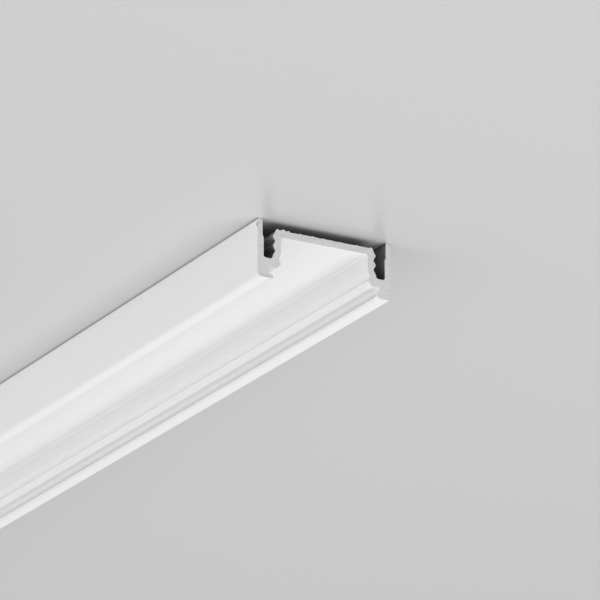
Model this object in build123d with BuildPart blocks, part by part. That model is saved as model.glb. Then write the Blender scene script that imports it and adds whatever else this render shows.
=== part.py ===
"""LED strip profile: a low white channel that is pressed against a ceiling or a cabinet underside.

The whole profile is one aluminium extrusion, sawn square at both ends. It is drawn as it hangs, so the
ceiling is above it and its channel opens downwards. The strip is stuck under the web, and the cover
snaps in between the lips.

Frame, in millimetres: X across the profile, Y along it, Z up. The origin is in the middle of the length
and of the width, on the plane of the two lips' undersides.
"""

import os

from build123d import *

# Length of the cut piece
length = 500.0

# Across the profile, from the middle outwards
strip_width = 10.0
strip_clearance = 0.70
inner_wall = 0.75
tooth_depth = 0.32
slot_width = 1.16
outer_wall = 0.82

# Up the profile, from the lips' undersides to the ceiling
lip_thickness = 0.52
groove_height = 0.81
floor_thickness = 1.07
ledge_ramp = 0.52
ledge_flat = 0.15
notch_ramp = 0.35
notch_flat = 0.17
notch_taper = 0.58
channel_depth = 5.15
web_thickness = 0.80
web_gap = 1.05

# Snap groove for the cover, with its lip and its ledge
foot_width = 1.55
lip_reach = 0.50
ledge_setback = 0.55
notch_depth = 0.23

# Teeth on the inner side of each slot, whose floor is narrower than its mouth
tooth_count = 2
tooth_base = 0.42
floor_inset = 0.08
crown_height = 0.80
crown_inset = 0.48

# Thinner top of the outer wall
relief = 0.14
relief_height = 1.95
relief_ramp = 0.20

# Corner radii
foot_radius = 0.30
lip_radius = 0.14
lip_flat = 0.08
groove_radius = 0.14
ledge_radius = 0.12
bed_radius = 0.30
rim_radius = 0.27
slot_rim_radius = 0.08
slot_radius = 0.28
tooth_radius = 0.14
crown_radius = 0.12

# Places across the profile, on the side where X is positive
channel_x = strip_width / 2 + strip_clearance
notch_x = channel_x + notch_depth
shelf_x = channel_x + ledge_setback
valley_x = channel_x + inner_wall
tip_x = valley_x + tooth_depth
slot_x = tip_x + slot_width
outer_x = slot_x + outer_wall
groove_x = outer_x - foot_width
lip_x = groove_x - lip_reach
floor_x = tip_x + floor_inset

# Heights above the lips' undersides
shelf_z = lip_thickness + groove_height
ledge_low_z = shelf_z + ledge_ramp
ledge_high_z = ledge_low_z + ledge_flat
notch_low_z = ledge_high_z + notch_ramp
notch_high_z = notch_low_z + notch_flat
notch_end_z = notch_high_z + notch_taper
slot_floor_z = shelf_z + floor_thickness
web_top_z = channel_depth + web_thickness
rim_z = web_top_z + web_gap
relief_z = rim_z - relief_height

# The teeth share the slot's inner side between a plain base and the crown
teeth_start_z = slot_floor_z + tooth_base
tooth_pitch = (web_top_z - crown_height - teeth_start_z) / tooth_count
lip_nose_radius = lip_thickness - lip_flat - lip_radius


def channel_side():
    """Corners down the channel: each is the distance from the middle, the height and the radius."""
    return [
        (0, channel_depth, 0),
        (channel_x, channel_depth, bed_radius),
        (channel_x, notch_end_z, ledge_radius),
        (notch_x, notch_high_z, ledge_radius),
        (notch_x, notch_low_z, ledge_radius),
        (channel_x, ledge_high_z, ledge_radius),
        (channel_x, ledge_low_z, ledge_radius),
        (shelf_x, shelf_z, ledge_radius),
        (groove_x, shelf_z, groove_radius),
        (groove_x, lip_thickness, groove_radius),
        (lip_x, lip_thickness, lip_nose_radius),
        (lip_x, 0, lip_radius),
    ]


def outer_side():
    """Corners from the foot up the outer wall, over its rim and down into the slot."""
    return [
        (outer_x, 0, foot_radius),
        (outer_x, rim_z, rim_radius),
        (slot_x + relief, rim_z, slot_rim_radius),
        (slot_x + relief, relief_z, 0),
        (slot_x, relief_z - relief_ramp, 0),
        (slot_x, slot_floor_z, slot_radius),
        (floor_x, slot_floor_z, slot_radius),
        (tip_x, teeth_start_z, tooth_radius),
    ]


def toothed_side():
    """Corners up the slot's inner side: a valley and a tip for each tooth, then the crown of the web."""
    corners = []
    for tooth in range(tooth_count):
        base_z = teeth_start_z + tooth * tooth_pitch
        corners.append((valley_x, base_z + tooth_pitch / 2, tooth_radius))
        corners.append((tip_x, base_z + tooth_pitch, tooth_radius))
    corners.append((tip_x - crown_inset, web_top_z, crown_radius))
    corners.append((0, web_top_z, 0))
    return corners


half_outline = channel_side() + outer_side() + toothed_side()

with BuildPart() as strip_profile:
    # Half of the die's outline, mirrored about the middle of the width
    with BuildSketch(Plane.XZ) as section:
        with BuildLine():
            FilletPolyline(
                *[(x, z) for x, z, radius in half_outline],
                radius=[radius for x, z, radius in half_outline[1:-1]],
            )
            mirror(about=Plane.YZ)
        make_face()
    extrude(amount=length / 2, both=True)

strip_profile.part.label = "strip_profile"
os.makedirs("parts", exist_ok=True)
export_step(strip_profile.part, "parts/strip_profile.step")
print("section", round(section.sketch.area, 3), "mm2, width", 2 * outer_x, "mm, height", rim_z, "mm")
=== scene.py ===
# %% [markdown]
# # A white strip profile under a ceiling
# The real object is one aluminium extrusion with a white powder coat. It is pressed against a ceiling with
# its channel open downwards, and its near end is a square saw cut. This lesson builds its skin as one surface
# with numpy, gives it a coat and a bare cut face, and lights it softly from below.

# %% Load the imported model
import math

import bpy
import numpy as np
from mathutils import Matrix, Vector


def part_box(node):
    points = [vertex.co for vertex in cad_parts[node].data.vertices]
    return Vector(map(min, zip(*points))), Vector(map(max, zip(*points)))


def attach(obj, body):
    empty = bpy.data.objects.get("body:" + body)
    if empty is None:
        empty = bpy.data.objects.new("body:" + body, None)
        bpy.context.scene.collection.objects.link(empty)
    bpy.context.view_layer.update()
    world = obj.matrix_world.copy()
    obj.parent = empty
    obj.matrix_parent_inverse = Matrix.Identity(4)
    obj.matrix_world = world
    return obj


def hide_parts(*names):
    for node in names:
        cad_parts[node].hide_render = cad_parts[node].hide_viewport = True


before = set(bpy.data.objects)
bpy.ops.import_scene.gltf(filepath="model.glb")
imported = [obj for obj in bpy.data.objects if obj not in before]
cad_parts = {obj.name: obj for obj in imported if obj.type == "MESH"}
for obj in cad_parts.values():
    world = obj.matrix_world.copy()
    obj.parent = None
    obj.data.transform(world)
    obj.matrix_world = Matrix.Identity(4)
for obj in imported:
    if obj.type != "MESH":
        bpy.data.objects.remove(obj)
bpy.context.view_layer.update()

MM = 0.001
node_name = "strip_profile"
low, high = (np.array(corner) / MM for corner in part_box(node_name))
print("the profile's box in mm:", low.round(3), high.round(3))

# %% [markdown]
# ## The section
# A die drawing gives the corners of half the section, each with the radius of its round. The overall width,
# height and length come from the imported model. The walls, the slot, the teeth, the snap ledge and the lip are
# the sizes that the solid has, in millimetres.

# %% Sizes of the section
outer_x = high[0]
rim_z = high[2]
half_length = high[1]

outer_wall = 0.82
slot_width = 1.16
tooth_depth = 0.32
inner_wall = 0.75
slot_x = outer_x - outer_wall
tip_x = slot_x - slot_width
valley_x = tip_x - tooth_depth
channel_x = valley_x - inner_wall

web_gap = 1.05
web_thickness = 0.80
web_top_z = rim_z - web_gap
bed_z = web_top_z - web_thickness
print("channel", round(2 * channel_x, 2), "mm wide and", round(bed_z, 2), "mm deep")

# %% Places along the channel's side
notch_depth = 0.23
ledge_setback = 0.55
foot_width = 1.55
lip_reach = 0.50
notch_x = channel_x + notch_depth
shelf_x = channel_x + ledge_setback
groove_x = outer_x - foot_width
lip_x = groove_x - lip_reach

lip_thickness = 0.52
groove_height = 0.81
ledge_ramp, ledge_flat = 0.52, 0.15
notch_ramp, notch_flat, notch_taper = 0.35, 0.17, 0.58
shelf_z = lip_thickness + groove_height
ledge_z = shelf_z + np.cumsum([ledge_ramp, ledge_flat])
notch_z = ledge_z[1] + np.cumsum([notch_ramp, notch_flat, notch_taper])
print("snap ledge", round(shelf_z, 2), "mm above the lip's edge")

# %% Corners of the channel's side, from the middle of the web down to the lip
bed_radius = 0.30
ledge_radius = 0.12
groove_radius = 0.14
lip_radius = 0.14
lip_flat = 0.08
lip_nose_radius = lip_thickness - lip_flat - lip_radius
channel_side = np.array([
    (channel_x, bed_z, bed_radius),
    (channel_x, notch_z[2], ledge_radius),
    (notch_x, notch_z[1], ledge_radius),
    (notch_x, notch_z[0], ledge_radius),
    (channel_x, ledge_z[1], ledge_radius),
    (channel_x, ledge_z[0], ledge_radius),
    (shelf_x, shelf_z, ledge_radius),
    (groove_x, shelf_z, groove_radius),
    (groove_x, lip_thickness, groove_radius),
    (lip_x, lip_thickness, lip_nose_radius),
    (lip_x, 0.0, lip_radius),
])
print(len(channel_side), "corners on the channel's side")

# %% Corners of the outer wall and of the toothed slot
relief = 0.14
relief_height = 1.95
relief_ramp = 0.20
floor_thickness = 1.07
floor_inset = 0.08
tooth_base = 0.42
relief_z = rim_z - relief_height
floor_z = shelf_z + floor_thickness

foot_radius = 0.30
rim_radius = 0.27
slot_rim_radius = 0.08
relief_radius = 0.03
slot_radius = 0.28
tooth_radius = 0.14
outer_side = np.array([
    (outer_x, 0.0, foot_radius),
    (outer_x, rim_z, rim_radius),
    (slot_x + relief, rim_z, slot_rim_radius),
    (slot_x + relief, relief_z, relief_radius),
    (slot_x, relief_z - relief_ramp, relief_radius),
    (slot_x, floor_z, slot_radius),
    (tip_x + floor_inset, floor_z, slot_radius),
    (tip_x, floor_z + tooth_base, tooth_radius),
])
print("slot", round(rim_z - floor_z, 2), "mm deep")

# %% Teeth by a formula, then the whole section
tooth_count = 2
crown_height = 0.80
crown_inset = 0.48
crown_radius = 0.12
teeth_z = np.linspace(floor_z + tooth_base, web_top_z - crown_height, 2 * tooth_count + 1)[1:]
teeth_x = np.where(np.arange(len(teeth_z)) % 2 == 0, valley_x, tip_x)
teeth = np.stack([teeth_x, teeth_z, np.full(len(teeth_z), tooth_radius)], axis=1)
crown = np.array([(tip_x - crown_inset, web_top_z, crown_radius)])

right_half = np.concatenate([channel_side, outer_side, teeth, crown])
left_half = right_half[::-1] * [-1, 1, 1]
corners = np.concatenate([right_half, left_half])
print(len(corners), "corners in the whole section")

# %% [markdown]
# ## From corners to a smooth outline
# A round is an arc that touches both neighbouring edges. Its centre lies on the corner's bisector, at the
# radius divided by the sine of half the corner's angle. All arcs are worked out at once, as one array with a
# row for each corner. One guard point on each side of an arc keeps its shading off the flat beside it. It
# stands no further from the arc than a third of that flat.

# %% Arcs for all corners at once
arc_steps = 7
guard = 0.025


def unit(vectors):
    """Each vector divided by its length."""
    return vectors / np.linalg.norm(vectors, axis=-1, keepdims=True)


def rounded(corners, steps=arc_steps):
    """Centre = corner + bisector * radius / sin(half angle); the arc's points turn about the centre from one
    tangent point to the other, as a weighted sum of the two tangent radii."""
    points = corners[:, :2]
    radii = corners[:, 2:]
    back = unit(np.roll(points, 1, 0) - points)
    ahead = unit(np.roll(points, -1, 0) - points)
    half = np.arccos((back * ahead).sum(1, keepdims=True)) / 2
    centre = points + unit(back + ahead) * radii / np.sin(half)
    reach = radii / np.tan(half)
    start = points + back * reach - centre
    end = points + ahead * reach - centre
    turn = np.pi - 2 * half
    share = np.linspace(0, 1, steps)
    weights = np.stack([np.sin((1 - share) * turn), np.sin(share * turn)]) / np.sin(turn)
    arcs = centre[:, None] + weights[0][..., None] * start[:, None] + weights[1][..., None] * end[:, None]
    edge = np.linalg.norm(np.roll(points, -1, 0) - points, axis=1, keepdims=True)
    guard_ahead = np.minimum(guard, (edge - reach - np.roll(reach, -1, 0)) / 3)
    before = points + back * (reach + np.roll(guard_ahead, 1, 0))
    after = points + ahead * (reach + guard_ahead)
    return np.concatenate([before[:, None], arcs, after[:, None]], axis=1).reshape(-1, 2)


outline = rounded(corners)
print(len(outline), "points with the arcs")

# %% Even points along the flats
flat_gap = 0.32
back_gap = 0.08
back_depth = 0.15


def lengths_along(loop):
    """Distance along a closed loop to each of its points, and back to the first."""
    step = np.linalg.norm(np.roll(loop, -1, 0) - loop, axis=1)
    return np.concatenate([[0.0], np.cumsum(step)])


def at_lengths(loop, along):
    """Points of a closed loop at the given distances along it."""
    closed = np.concatenate([loop, loop[:1]])
    return np.stack([np.interp(along, lengths_along(loop), closed[:, axis]) for axis in (0, 1)], axis=1)


def on_back(points):
    """True on the side of the web that faces the ceiling, down to back_depth below it."""
    return (points[:, 1] > web_top_z - back_depth) & (np.abs(points[:, 0]) < tip_x)


def with_even_points(loop, gap, fine_gap):
    """The loop keeps its own points and gains evenly spaced ones wherever no own point is near. They stand
    close together on the web's back and one in every gap / fine_gap of them elsewhere."""
    own = lengths_along(loop)
    even = np.arange(0, own[-1], fine_gap)
    spacing = np.where(on_back(at_lengths(loop, even)), fine_gap, gap)
    chosen = (np.arange(len(even)) % round(gap / fine_gap) == 0) | (spacing == fine_gap)
    clear = np.abs(even[:, None] - own).min(1) > spacing / 2
    return at_lengths(loop, np.sort(np.concatenate([own[:-1], even[chosen & clear]])))


outline = with_even_points(outline, flat_gap, back_gap)
tangent = unit(np.roll(outline, -1, 0) - np.roll(outline, 1, 0))
outward = np.stack([-tangent[:, 1], tangent[:, 0]], axis=1)
area = 0.5 * np.sum(outline[:, 0] * np.roll(outline[:, 1], -1) - np.roll(outline[:, 0], -1) * outline[:, 1])
outward *= -np.sign(area)
print(len(outline), "points, section of", round(abs(area), 2), "mm2")

# %% [markdown]
# ## The saw cut's burr
# A saw leaves a thin burr where its teeth leave the metal, here along the back of the web. It could be a bump
# in the material, but in the photo it breaks the outline of the cut edge, so it is in the mesh: the last
# tenths of a millimetre of the skin are pushed outwards in low bumps that die away along the profile. In the
# same way two corners of the cut are drawn inwards, where the saw wore them round. They move along one
# diagonal and not along their own normals, which would cross inside a small round and spoil the flat face
# that closes the end. Everywhere but on the web's back the edge of the cut is broken by a hair, less than the
# smallest round, for the same reason. The far end is the same cut mirrored, with a lower burr.

# %% Burr heights and worn corners along the outline
burr_reach = 0.35
edge_break = 0.02
burr_bumps = np.array([
    (-6.14, 0.15, 0.17),
    (-5.38, 0.22, 0.30),
    (-4.72, 0.18, 0.17),
    (-3.85, 0.04, 0.20),
    (-3.16, 0.10, 0.16),
    (-2.40, 0.06, 0.40),
    (-1.50, 0.11, 0.22),
    (-1.05, 0.05, 0.16),
    (-0.15, 0.07, 0.25),
    (0.75, 0.04, 0.40),
    (2.12, 0.05, 0.22),
    (4.28, 0.10, 0.17),
    (5.00, 0.04, 0.18),
    (5.48, 0.04, 0.18),
    (6.12, 0.14, 0.17),
])
worn_corners = np.array([
    (-outer_x, 0.0, 0.12, 0.30),
    (lip_x, 0.0, 0.28, 0.30),
])


def burr(points, bumps):
    """Sum of bell curves across the web's back, each with its place, height and width."""
    heights = bumps[:, 1] * np.exp(-(((points[:, :1] - bumps[:, 0]) / bumps[:, 2]) ** 2))
    return np.where(on_back(points), heights.sum(1), 0.0)


def wear(points, corners):
    """Sum of bell curves round the worn corners, each with its place, depth and width."""
    apart = np.hypot(points[:, :1] - corners[:, 0], points[:, 1:] - corners[:, 1])
    return (corners[:, 2] * np.exp(-((apart / corners[:, 3]) ** 2))).sum(1)


def cut_shift(loop, normals, bumps, corners, inward):
    """Outward normal * burr height + one shared inward diagonal * depth of wear."""
    return normals * burr(loop, bumps)[:, None] + inward * wear(loop, corners)[:, None]


inward = np.array([1.0, 1.0]) / math.sqrt(2)
near_shift = cut_shift(outline, outward, burr_bumps, worn_corners, inward)

far_burr = 0.8
far_bumps = burr_bumps * [-1, far_burr, 1]
far_corners = worn_corners * [-1, 1, 1, 1]
far_shift = cut_shift(outline, outward, far_bumps, far_corners, inward * [-1, 1])
print("highest burr", burr(outline, burr_bumps).max().round(3), "mm")
print("deepest wear", wear(outline, worn_corners).max().round(3), "mm")

# %% [markdown]
# ## The skin
# The outline is carried along a straight path of stations. They crowd near both saw cuts, where the skin
# changes, and stand far apart between. The skin is a grid with one row for each station and one column for
# each outline point, closed by a flat face at each end.

# %% Stations and the grid of points
end_steps = np.array([0.0, 0.03, 0.07, 0.13, 0.22, 0.35, 0.55, 0.9, 1.6, 3.0, 6.0, 12.0])
even_steps = 41
middle_steps = np.linspace(-half_length, half_length, even_steps + 1)[2:-2]
stations = np.concatenate([-half_length + end_steps, middle_steps, half_length - end_steps[::-1]])


def carried(loop, normals, stations):
    """Point = outline point + each cut's shift, which dies away from that cut, less the broken edge."""
    from_near = stations[:, None] + half_length
    from_far = half_length - stations[:, None]
    near_fall = np.exp(-((from_near / burr_reach) ** 2))[..., None]
    far_fall = np.exp(-((from_far / burr_reach) ** 2))[..., None]
    at_cut = (from_near == 0) | (from_far == 0)
    broken = edge_break * (at_cut & ~on_back(loop))[..., None]
    flat = loop + near_fall * near_shift + far_fall * far_shift - normals * broken
    along = np.broadcast_to(stations[:, None], flat.shape[:2])
    return np.stack([flat[..., 0], along, flat[..., 1]], axis=-1)


grid = carried(outline, outward, stations)
rows, columns = grid.shape[:2]
print("grid of", rows, "stations by", columns, "outline points")

# %% Faces of the skin and of its two cut ends
sharp_edge = math.radians(40)
this_row = np.arange(rows - 1)[:, None] * columns
next_row = this_row + columns
here = np.arange(columns)
following = np.roll(here, -1)
side_faces = np.stack([this_row + here, this_row + following, next_row + following, next_row + here], -1)
side_faces = side_faces.reshape(-1, 4)
near_face = here[::-1]
far_face = (rows - 1) * columns + here
if area > 0:
    side_faces = side_faces[:, ::-1]
    near_face, far_face = near_face[::-1], far_face[::-1]


def make_mesh(name, points, faces):
    """A Blender object from points in millimetres and faces as lists of point numbers."""
    mesh = bpy.data.meshes.new(name)
    mesh.from_pydata((points.reshape(-1, 3) * MM).tolist(), [], faces)
    mesh.validate()
    made = bpy.data.objects.new(name, mesh)
    bpy.context.scene.collection.objects.link(made)
    return made


profile = make_mesh("coated_profile", grid, side_faces.tolist() + [near_face.tolist(), far_face.tolist()])
cut_faces = np.zeros(len(profile.data.polygons), dtype=np.int32)
cut_faces[-2:] = 1
profile.data.polygons.foreach_set("material_index", cut_faces)
profile.data.polygons.foreach_set("use_smooth", cut_faces == 0)
profile.data.set_sharp_from_angle(angle=sharp_edge)
print(profile.name, len(profile.data.polygons), "faces")

# %% Which way the cut faces look, and the area that their triangles fill
near_normal, far_normal = (profile.data.polygons[face].normal.y for face in (-2, -1))
print("cut faces look along Y by", round(near_normal, 2), "near and", round(far_normal, 2), "far")
profile.data.calc_loop_triangles()
triangle_area = np.empty(len(profile.data.loop_triangles))
owner = np.empty(len(triangle_area), dtype=np.int32)
profile.data.loop_triangles.foreach_get("area", triangle_area)
profile.data.loop_triangles.foreach_get("polygon_index", owner)
cut_area = [triangle_area[owner == face].sum() / MM**2 for face in np.flatnonzero(cut_faces)]
print("cut faces are filled with", np.round(cut_area, 2), "mm2 of triangles")

# %% [markdown]
# ## Painted shade in the coat's cover
# The white is darkened towards dark metal in small spots along edges, creases, corners and the lip's nose,
# where shade falls: this is painted shade. It is also darkened down the narrow slots and at their top edge,
# with a spot of painted light on the crown, and the web's back is kept dark to deepen the shade in the gap
# above it. The skin carries this as one value for each point, so the material can follow the section exactly.
# The slots' depths and the back are hidden in the photo and are a guess.

# %% Coat cover and painted shade as an attribute of the skin
# Spots of painted shade: each darkens the white where shade falls, at the rim's contact with the ceiling, the
# foot's round, the lip's edge and nose, the ledge and the groove's corners.
painted_shade_spots = np.array([
    (outer_x, rim_z, 0.15, 0.80),
    (outer_x - 0.10, 0.06, 0.17, 0.14),
    (lip_x + 0.05, 0.0, 0.42, 0.11),
    (lip_x, 0.36, 0.20, 0.27),
    (shelf_x - 0.27, shelf_z + 0.26, 0.60, 0.08),
    (groove_x - 0.50, shelf_z, 0.20, 0.05),
    (groove_x, lip_thickness + 0.23, 0.25, 0.10),
])
# Painted shade: the web's back and the slots are kept dark, darkest at the slots' floors and top edge.
back_shade_cover = 0.12
slot_shade_cover = 0.22
slot_dark_height = 0.70
slot_shade_fade = 1.5
rim_shade_reach = 0.30
wall_margin = 0.04
floor_margin = 0.02
past_channel = 0.5
# Painted light: a lighter spot on the teeth's crown, in the slot's painted shade.
crown_light_spot = np.array([(tip_x, web_top_z - 0.50, 0.50, 0.40)])


def bells(points, spots):
    """Sum of bell curves round spots on both sides, each with its place, reach and height."""
    apart = np.hypot(np.abs(points[:, :1]) - spots[:, 0], points[:, 1:] - spots[:, 1])
    return (spots[:, 3] * np.exp(-((apart / spots[:, 2]) ** 2))).sum(1)


def coat_cover_and_shade(points):
    """1 on every open side, less spots of painted shade; low on the web's back and down the slots as
    painted shade, with a spot of painted light on the crown.
    """
    across, height = np.abs(points[:, 0]), points[:, 1]
    behind = across < slot_x + relief + wall_margin
    high_enough = height > floor_z - floor_margin
    not_channel = (across > channel_x + past_channel) | (height > web_top_z - back_depth)
    slot_depth_shade = np.clip((height - floor_z - slot_dark_height) / slot_shade_fade, 0, 1)
    slot_rim_shade = 1 - np.exp(-(((rim_z - height) / rim_shade_reach) ** 2))
    slot_shade = slot_shade_cover * slot_depth_shade * slot_rim_shade + bells(points, crown_light_spot)
    hidden = np.where(on_back(points), back_shade_cover, slot_shade)
    return np.where(behind & high_enough & not_channel, hidden, 1.0 - bells(points, painted_shade_spots))


cover = profile.data.attributes.new("coat_cover_and_shade", "FLOAT", "POINT")
cover_values = coat_cover_and_shade(outline)
cover.data.foreach_set("value", np.tile(cover_values, rows).astype(np.float32))
print("coat cover from", cover_values.min().round(2), "to", cover_values.max().round(2))

# %% [markdown]
# ## Effects shared by both finishes
# A powder coat melts into a skin that is flat to the hand and faintly pebbled to the eye. A saw cut has fine
# marks. Both are a height that drives a bump, so one node group serves both: it takes the size of the grain
# along each axis and gives back a normal and a mottle mask. A second group gives a soft spot round a point.
# It paints shade in one place on each finish: the shadow of a small nick in the coat by the cut, and a darker
# band along the cut face's lower edge at the foot.

# %% Node helpers and the two groups
spot_core = 0.4


def add(tree, kind, **settings):
    """A node of a kind, with its properties and its input sockets set by name."""
    node = tree.nodes.new(kind)
    for name, value in settings.items():
        if hasattr(node, name):
            setattr(node, name, value)
        else:
            node.inputs[name.replace("_", " ")].default_value = value
    return node


def new_group(name, inputs, outputs):
    """A node group with sockets from names and kinds, and the nodes that stand for them inside it."""
    group = bpy.data.node_groups.new(name, "ShaderNodeTree")
    for direction, sockets in (("INPUT", inputs), ("OUTPUT", outputs)):
        for socket, kind in sockets.items():
            group.interface.new_socket(socket, in_out=direction, socket_type="NodeSocket" + kind)
    return group, add(group, "NodeGroupInput"), add(group, "NodeGroupOutput")


def relief_group():
    """Object coordinates times the grain frequency, through noise, into a bump and a mask."""
    inputs = {"Grain": "Vector", "Depth": "Float", "Detail": "Float"}
    outputs = {"Normal": "Vector", "Mottle": "Float"}
    group, inside, outside = new_group("surface_relief", inputs, outputs)
    place = add(group, "ShaderNodeTexCoord")
    scaled = add(group, "ShaderNodeVectorMath", operation="MULTIPLY")
    noise = add(group, "ShaderNodeTexNoise", Scale=1.0)
    bump = add(group, "ShaderNodeBump", Strength=1.0)
    link = group.links.new
    link(place.outputs["Object"], scaled.inputs[0])
    link(inside.outputs["Grain"], scaled.inputs[1])
    link(scaled.outputs[0], noise.inputs["Vector"])
    link(inside.outputs["Detail"], noise.inputs["Detail"])
    link(noise.outputs["Fac"], bump.inputs["Height"])
    link(inside.outputs["Depth"], bump.inputs["Distance"])
    link(bump.outputs["Normal"], outside.inputs["Normal"])
    link(noise.outputs["Fac"], outside.inputs["Mottle"])
    return group


def spot_group():
    """Mask = 1 where the length of (place - centre) / reach is under spot_core, down to 0 where it is 1."""
    inputs = {"Centre": "Vector", "Reach": "Vector"}
    group, inside, outside = new_group("soft_spot", inputs, {"Mask": "Float"})
    place = add(group, "ShaderNodeTexCoord")
    apart = add(group, "ShaderNodeVectorMath", operation="SUBTRACT")
    scaled = add(group, "ShaderNodeVectorMath", operation="DIVIDE")
    length = add(group, "ShaderNodeVectorMath", operation="LENGTH")
    fall = add(group, "ShaderNodeMapRange", From_Min=1.0, From_Max=spot_core)
    link = group.links.new
    link(place.outputs["Object"], apart.inputs[0])
    link(inside.outputs["Centre"], apart.inputs[1])
    link(apart.outputs[0], scaled.inputs[0])
    link(inside.outputs["Reach"], scaled.inputs[1])
    link(scaled.outputs[0], length.inputs[0])
    link(length.outputs["Value"], fall.inputs["Value"])
    link(fall.outputs["Result"], outside.inputs["Mask"])
    return group


surface_relief = relief_group()
soft_spot = spot_group()


def place_spot(tree, centre_mm, reach_mm):
    """The mask of a spot group placed in a material, with its centre and reach in millimetres."""
    centre = [value * MM for value in centre_mm]
    reach = [value * MM for value in reach_mm]
    node = add(tree, "ShaderNodeGroup", node_tree=soft_spot, Centre=centre, Reach=reach)
    return node.outputs["Mask"]


def place_relief(tree, grain_mm, depth_mm, detail):
    """The relief group placed in a material, with its grain and depth in millimetres."""
    grain = [1 / (size * MM) for size in grain_mm]
    depth = depth_mm * MM
    return add(tree, "ShaderNodeGroup", node_tree=surface_relief, Grain=grain, Depth=depth, Detail=detail)


print("node groups", surface_relief.name, "and", soft_spot.name)

# %% [markdown]
# ## White powder coat
# The coat is a matt white with a low sheen. Die lines of the extrusion show through it as streaks that run
# the whole length, so the streak noise is stretched along Y, and the pebbling is even in all directions.
# Where the cover is low, the colour goes to a dark dull metal as painted shade, so both the colour and the
# metallic look follow the cover.

# %% The coat's material, with places and grains in millimetres
coat_dark = 0.841
coat_light = 0.851
# Painted shade: the dark tone that the white goes to where the cover is low.
painted_shade_tone = 0.25
pebble_grain = (0.35, 0.35, 0.35)
pebble_depth = 0.004
streak_grain = (0.5, 60.0, 0.5)
# Painted shade: a dark spot for the shadow of a small nick at the top of the outer wall by the cut.
nick_shade_place = (-outer_x, -half_length + 0.08, 6.25)
nick_shade_reach = (0.2, 0.20, 0.38)


def grey(value):
    """A neutral colour."""
    return (value, value, value, 1.0)


def new_material(name):
    """An empty node material and its output."""
    material = bpy.data.materials.new(name)
    material.use_nodes = True
    material.node_tree.nodes.clear()
    output = material.node_tree.nodes.new("ShaderNodeOutputMaterial")
    return material, material.node_tree, output


def blended(tree, mask, below, above):
    """A colour or output below, mixed towards one above by a mask. The Mix node has sockets for every kind of
    data; its two colours are inputs 6 and 7, and the mixed colour is output 2."""
    blend = add(tree, "ShaderNodeMix", data_type="RGBA")
    tree.links.new(mask, blend.inputs[0])
    for socket, colour in ((blend.inputs[6], below), (blend.inputs[7], above)):
        if isinstance(colour, tuple):
            socket.default_value = colour
        else:
            tree.links.new(colour, socket)
    return blend.outputs[2]


def tinted(tree, mask, dark, light, low=0.35, high=0.65):
    """A mask between low and high turned into a colour between dark and light."""
    ramp = add(tree, "ShaderNodeMapRange", From_Min=low, From_Max=high)
    tree.links.new(mask, ramp.inputs["Value"])
    return blended(tree, ramp.outputs["Result"], dark, light)


def powder_coat():
    """Streaked, softly pebbled white, going to a dark dull metal where the cover is low, which is painted
    shade. Metallic = 1 - cover. A soft spot by the cut paints the shade of a small nick, in the colour alone."""
    material, tree, output = new_material("white_powder_coat")
    skin = add(tree, "ShaderNodeBsdfPrincipled", Roughness=0.75, IOR=1.25)
    pebbles = place_relief(tree, pebble_grain, pebble_depth, detail=2.0)
    streaks = place_relief(tree, streak_grain, depth_mm=0.0, detail=2.0)
    colour = tinted(tree, streaks.outputs["Mottle"], grey(coat_dark), grey(coat_light))
    cover = add(tree, "ShaderNodeAttribute", attribute_name="coat_cover_and_shade")
    # The cover blends the white down to the painted shade tone.
    coat_and_shade = blended(tree, cover.outputs["Fac"], grey(painted_shade_tone), colour)
    metal_share = add(tree, "ShaderNodeMapRange", From_Min=1.0, From_Max=0.0)
    tree.links.new(cover.outputs["Fac"], metal_share.inputs["Value"])
    tree.links.new(metal_share.outputs["Result"], skin.inputs["Metallic"])
    # Painted shade of the small nick, in the colour alone.
    nick_shade = place_spot(tree, nick_shade_place, nick_shade_reach)
    tree.links.new(blended(tree, nick_shade, coat_and_shade, grey(painted_shade_tone)), skin.inputs["Base Color"])
    tree.links.new(pebbles.outputs["Normal"], skin.inputs["Normal"])
    tree.links.new(skin.outputs[0], output.inputs["Surface"])
    return material


profile.data.materials.append(powder_coat())
print("open faces:", profile.data.materials[0].name)

# %% [markdown]
# ## Bare sawn aluminium
# The cut face has no coat. It is a matt metal, a little darker than the white, with fine saw marks and a
# cloudy mottle where the blade rubbed.

# %% The cut face's material, with places and grains in millimetres
cut_dark = 0.88
cut_light = 0.98
# Painted shade: a darker band along the cut face's lower edge at the foot, with its place and reach below.
edge_shade_tone = 0.80
mark_grain = (1.6, 1.0, 0.12)
mark_depth = 0.006
cloud_grain = (0.5, 0.5, 0.35)
edge_shade_place = (-7.75, -half_length, 0.05)
edge_shade_reach = (1.05, 0.2, 0.42)


def sawn_metal():
    """Matt aluminium with marks drawn out along the saw's travel, and one darker band of painted shade
    along the lower edge at the foot.
    """
    material, tree, output = new_material("sawn_aluminium")
    metal = add(tree, "ShaderNodeBsdfPrincipled", Metallic=1.0, Roughness=0.5)
    marks = place_relief(tree, mark_grain, mark_depth, detail=3.0)
    cloud = place_relief(tree, cloud_grain, depth_mm=0.0, detail=3.0)
    colour = tinted(tree, cloud.outputs["Mottle"], grey(cut_dark), grey(cut_light))
    # Painted shade along the cut face's lower edge at the foot.
    edge_shade = place_spot(tree, edge_shade_place, edge_shade_reach)
    tree.links.new(blended(tree, edge_shade, colour, grey(edge_shade_tone)), metal.inputs["Base Color"])
    tree.links.new(marks.outputs["Normal"], metal.inputs["Normal"])
    tree.links.new(metal.outputs[0], output.inputs["Surface"])
    return material


profile.data.materials.append(sawn_metal())
print("cut faces:", profile.data.materials[1].name)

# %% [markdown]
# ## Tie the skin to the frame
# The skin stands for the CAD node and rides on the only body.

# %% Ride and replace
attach(profile, "root")
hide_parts(node_name)
print(profile.name, "stands for", node_name)

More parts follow.
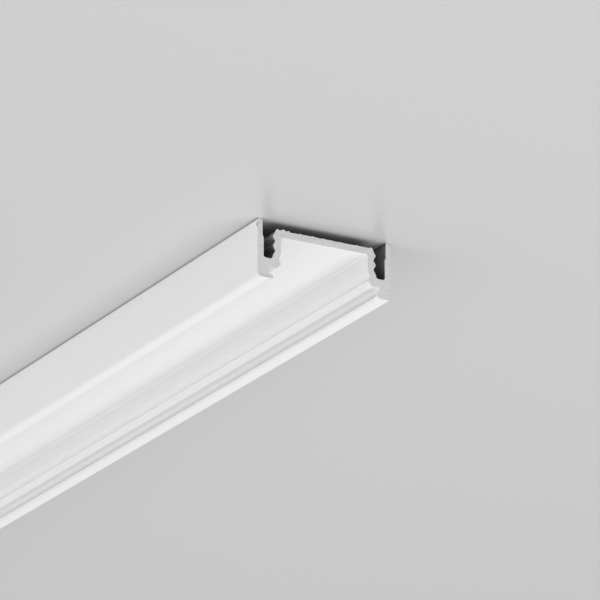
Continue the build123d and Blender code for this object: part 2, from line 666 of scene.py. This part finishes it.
# %% [markdown]
# ## The ceiling
# The profile hangs under a plain pale ceiling, a hair's breadth below it. The paint is satin, because the
# photo shows faint blurred reflections of the slots in it. Seen from above, a ceiling would hide the object,
# so its material lets a view from above through, and the light that such a view needs as well: Backfacing
# finds the upper side, and Transparent Depth the light paths that came through it.

# %% Ceiling plane, with its face pointing down
ceiling_gap = 0.03
ceiling_half = 4000.0
ceiling_tone = 0.605
ceiling_z = rim_z + ceiling_gap
square = np.array([(-1, -1), (-1, 1), (1, 1), (1, -1)]) * ceiling_half
ceiling = make_mesh("ceiling", np.column_stack([square, np.full(4, ceiling_z)]), [[0, 1, 2, 3]])


def one_sided_paint():
    """Satin pale paint from below, clear from above."""
    material, tree, output = new_material("ceiling_paint")
    paint = add(tree, "ShaderNodeBsdfPrincipled", Base_Color=grey(ceiling_tone), Roughness=0.33, IOR=1.5)
    clear = add(tree, "ShaderNodeBsdfTransparent")
    side = add(tree, "ShaderNodeNewGeometry")
    path = add(tree, "ShaderNodeLightPath")
    above = add(tree, "ShaderNodeMath", operation="MAXIMUM")
    mix = add(tree, "ShaderNodeMixShader")
    tree.links.new(side.outputs["Backfacing"], above.inputs[0])
    tree.links.new(path.outputs["Transparent Depth"], above.inputs[1])
    tree.links.new(above.outputs[0], mix.inputs[0])
    tree.links.new(paint.outputs[0], mix.inputs[1])
    tree.links.new(clear.outputs[0], mix.inputs[2])
    tree.links.new(mix.outputs[0], output.inputs["Surface"])
    return material


ceiling.data.materials.append(one_sided_paint())
print("ceiling at", round(ceiling_z, 2), "mm")

# %% [markdown]
# ## Light
# A white ceiling object is lit by the whole room, so an even white world gives the base of the light. Round
# softboxes, all turned to the near end from below and most of them from the left, add the soft shading
# between its faces. Each is set by its direction, its distance in millimetres and the brightness of its disc.
# The world's strength and the brightnesses were fitted to the tones of the photo.

# %% World
world_strength = 0.58
world = bpy.data.worlds.new("room_light")
bpy.context.scene.world = world
world.use_nodes = True
background = world.node_tree.nodes["Background"]
background.inputs["Color"].default_value = grey(1.0)
background.inputs["Strength"].default_value = world_strength
print("world strength", world_strength)

# %% Softboxes round the near end
softboxes = np.array([
    (0, -65, 1200, 0.66),
    (60, -65, 1200, 1.40),
    (300, -65, 1200, 0.84),
    (270, -40, 1200, 1.44),
    (225, -15, 1200, 0.67),
    (270, -15, 1200, 1.10),
    (270, -4, 1200, 0.59),
    (30, -50, 420, 1.84),
])
softbox_spread = 0.3
near_end = np.array([0.0, -half_length, 0.0])


def towards(azimuth, elevation):
    """Unit vector from the object to a place seen at that azimuth and elevation, in degrees."""
    a, e = math.radians(azimuth), math.radians(elevation)
    return np.array([math.sin(a) * math.cos(e), -math.cos(a) * math.cos(e), math.sin(e)])


def looking_back(azimuth, elevation):
    """Turn that points a lamp's or a camera's own -Z back along that direction."""
    return math.pi / 2 - math.radians(elevation), 0.0, math.radians(azimuth)


def softbox(azimuth, elevation, distance, strength):
    """A round lamp that faces the near end, with a power that gives its disc that brightness."""
    radius = distance * softbox_spread * MM
    lamp = bpy.data.lights.new("softbox", "AREA")
    lamp.shape = "DISK"
    lamp.size = 2 * radius
    lamp.energy = strength * (math.pi * radius) ** 2
    placed = bpy.data.objects.new("softbox", lamp)
    bpy.context.scene.collection.objects.link(placed)
    placed.location = (near_end + towards(azimuth, elevation) * distance) * MM
    placed.rotation_euler = looking_back(azimuth, elevation)
    placed.visible_camera = False


for azimuth, elevation, distance, strength in softboxes.tolist():
    softbox(azimuth, elevation, distance, strength)
print(len(softboxes), "softboxes")

# %% [markdown]
# ## Camera
# The photo looks up at the near end from the front left with a long lens. The camera stands back from a point
# beside the near end along that direction.

# %% Camera at the photo's angle
aim = near_end + [-3.24, 0.0, -1.97]
view_azimuth, view_elevation, view_roll = -29.42, -19.83, -0.13
view_distance = 541.4

camera_data = bpy.data.cameras.new("photo_camera")
camera_data.lens = 286.6
camera_data.sensor_width = 36.0
camera_data.clip_start = 0.01
camera_data.clip_end = 20.0
camera = bpy.data.objects.new("photo_camera", camera_data)
bpy.context.scene.collection.objects.link(camera)
camera.location = (aim + towards(view_azimuth, view_elevation) * view_distance) * MM
camera.rotation_euler = looking_back(view_azimuth, view_elevation)
camera.rotation_euler.rotate_axis("Z", math.radians(view_roll))
bpy.context.scene.camera = camera
bpy.context.scene.view_settings.view_transform = "Standard"
print("camera at", (np.array(camera.location) / MM).round(1), "mm")
